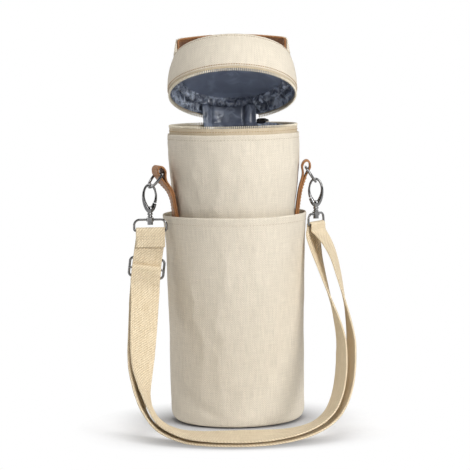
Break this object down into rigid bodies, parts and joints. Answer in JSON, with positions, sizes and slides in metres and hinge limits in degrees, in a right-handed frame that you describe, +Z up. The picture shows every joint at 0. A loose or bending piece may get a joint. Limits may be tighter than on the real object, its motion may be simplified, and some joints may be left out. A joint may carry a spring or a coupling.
{
  "type": "bottle carrier",
  "caption": "Cylindrical insulated canvas bottle carrier with outer pocket sleeve, zip-open domed lid, leather side tabs, swivel hooks and doubled webbing shoulder strap.",
  "frame": {"origin": "centre of the round base, on the face it stands on", "axes": "+Z up along the cylinder, -Y the front that the lid opens towards, +Y the lid hinge, +X to the right seen from the front"},
  "size_m": [0.2324, 0.2578, 0.4025],
  "materials": {
    "canvas": "undyed cotton canvas, plain weave",
    "foam": "closed-cell insulating foam",
    "lining": "slate blue woven lining, soft sheen",
    "zip_tape": "woven zip tape",
    "zip_teeth": "cream nylon coil",
    "leather": "tan vegetable-tanned leather",
    "pull_leather": "dark brown leather",
    "board": "stiff fibre board",
    "webbing": "cotton webbing, twill rib",
    "dark_nickel": "dark nickel plate, polished"
  },
  "bodies": {
    "carrier": {"base_board": "board", "base_foam": "foam", "base_panel": "canvas", "body_shell": "canvas", "body_zip_tape": "zip_tape", "body_zip_teeth": "zip_teeth", "collar_foam": "foam", "floor_lining": "lining", "hinge_lining": "lining", "hinge_panel": "canvas", "pocket_hem": "canvas", "pocket_sleeve": "canvas", "rim_facing": "lining", "rim_hem": "canvas", "side_tab_left": "leather", "side_tab_right": "leather", "strap_run_a": "webbing", "strap_run_b": "webbing", "wall_foam": "foam", "wall_lining": "lining"},
    "lid": {"lid_band": "canvas", "lid_top": "canvas", "lid_band_foam": "foam", "lid_top_foam": "foam", "lid_ceiling": "lining", "lid_lining": "lining", "lid_zip_tape": "zip_tape", "lid_zip_teeth": "zip_teeth", "handle_canvas": "canvas", "handle_leather": "leather", "zip_end_tab": "leather"},
    "zip_slider": {"zip_slider": "dark_nickel", "zip_pull_lug": "dark_nickel"},
    "zip_pull": {"zip_pull_bail": "dark_nickel", "zip_pull_tab": "pull_leather"},
    "adjuster": {"adjuster_frame": "dark_nickel", "adjuster_bar": "dark_nickel", "adjuster_fold": "webbing"},
    "ring_left": {"ring_left": "dark_nickel"},
    "eye_left": {"eye_left": "dark_nickel", "strap_end_left": "webbing"},
    "hook_left": {"hook_left": "dark_nickel", "swivel_rivet_left": "dark_nickel", "gate_pin_left": "dark_nickel", "gate_spring_left": "dark_nickel"},
    "gate_left": {"gate_left": "dark_nickel"},
    "ring_right": {"ring_right": "dark_nickel"},
    "eye_right": {"eye_right": "dark_nickel", "strap_turn_right": "webbing"},
    "hook_right": {"hook_right": "dark_nickel", "swivel_rivet_right": "dark_nickel", "gate_pin_right": "dark_nickel", "gate_spring_right": "dark_nickel"},
    "gate_right": {"gate_right": "dark_nickel"}
  },
  "joints": [
    {"name": "lid_hinge", "type": "hinge", "parent": "carrier", "child": "lid", "pos_m": [0, 0.0665, 0.31], "axis": [-1, 0, 0], "range_deg": [-24.5, 118], "deforming": ["hinge_panel", "hinge_lining"]},
    {"name": "zip_travel", "type": "hinge", "parent": "carrier", "child": "zip_slider", "pos_m": [0, 0, 0.31], "axis": [0, 0, -1], "range_deg": [0, 301]},
    {"name": "zip_pull_swing", "type": "hinge", "parent": "zip_slider", "child": "zip_pull", "pos_m": [0.03469, 0.06132, 0.31095], "axis": [0.8704, -0.4924, 0], "range_deg": [0, 75]},
    {"name": "ring_left_swing", "type": "hinge", "parent": "carrier", "child": "ring_left", "pos_m": [-0.07658, -0.02787, 0.26113], "axis": [0.342, -0.9397, 0], "range_deg": [0, 2]},
    {"name": "strap_left_swing", "type": "hinge", "parent": "carrier", "child": "eye_left", "pos_m": [-0.08716, -0.03173, 0.24671], "axis": [-0.342, 0.9397, 0], "range_deg": [-1, 10], "deforming": ["strap_run_a", "strap_run_b"]},
    {"name": "hook_left_swivel", "type": "hinge", "parent": "eye_left", "child": "hook_left", "pos_m": [-0.08716, -0.03173, 0.21351], "axis": [0, 0, 1], "range_deg": [-14, 14]},
    {"name": "gate_left_snap", "type": "hinge", "parent": "hook_left", "child": "gate_left", "pos_m": [-0.08246, -0.03001, 0.22662], "axis": [0.342, -0.9397, 0], "range_deg": [0, 20], "stiffness_Nm_per_rad": 0.03, "springref_deg": -11.46, "deforming": ["gate_spring_left"]},
    {"name": "ring_right_swing", "type": "hinge", "parent": "carrier", "child": "ring_right", "pos_m": [0.07502, 0, 0.26294], "axis": [0, 1, 0], "range_deg": [0, 2]},
    {"name": "strap_right_swing", "type": "hinge", "parent": "carrier", "child": "eye_right", "pos_m": [0.08499, 0, 0.2476], "axis": [0, -1, 0], "range_deg": [-1, 10], "deforming": ["strap_run_a", "strap_run_b"]},
    {"name": "hook_right_swivel", "type": "hinge", "parent": "eye_right", "child": "hook_right", "pos_m": [0.08499, 0, 0.21439], "axis": [0, 0, 1], "range_deg": [-14, 14]},
    {"name": "gate_right_snap", "type": "hinge", "parent": "hook_right", "child": "gate_right", "pos_m": [0.07999, 0, 0.2275], "axis": [0, 1, 0], "range_deg": [0, 20], "stiffness_Nm_per_rad": 0.03, "springref_deg": -11.46, "deforming": ["gate_spring_right"]},
    {"name": "adjuster_slide", "type": "slide", "parent": "carrier", "child": "adjuster", "axis": [0.1219, 0, 0.9925], "range_m": [-0.02, 0.012], "deforming": ["strap_run_a", "strap_run_b"]}
  ]
}
